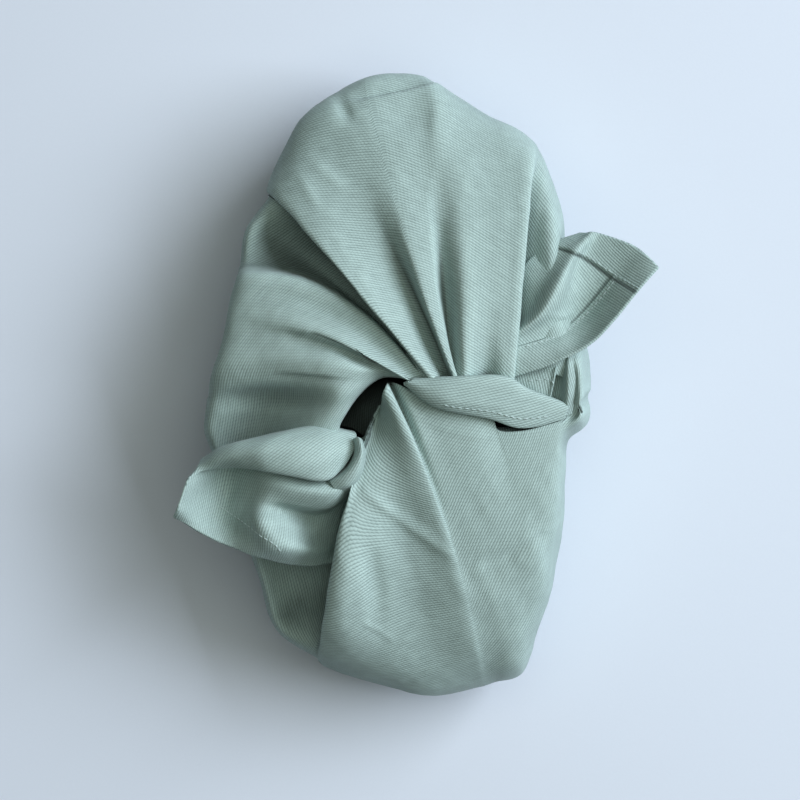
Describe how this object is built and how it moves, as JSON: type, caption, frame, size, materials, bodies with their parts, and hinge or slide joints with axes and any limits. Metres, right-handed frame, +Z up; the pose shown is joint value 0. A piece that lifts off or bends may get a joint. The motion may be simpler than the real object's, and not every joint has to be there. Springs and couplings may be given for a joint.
{
  "type": "bento bag",
  "caption": "Filled cotton twill bento bag, its two pointed corners tied over the top in one half-knot",
  "frame": {"origin": "centre of the bounding box, at the level of the flat base that rests on the table", "axes": "+Z up through the knot, +Y along the bag's length towards its higher, rounder end, +X towards the corner that points up and right in the picture"},
  "size_m": [0.1992, 0.2708, 0.0882],
  "materials": {
    "sage_twill": "matte"
  },
  "bodies": {
    "root": {"bag_cloth": "sage_twill"}
  },
  "joints": []
}
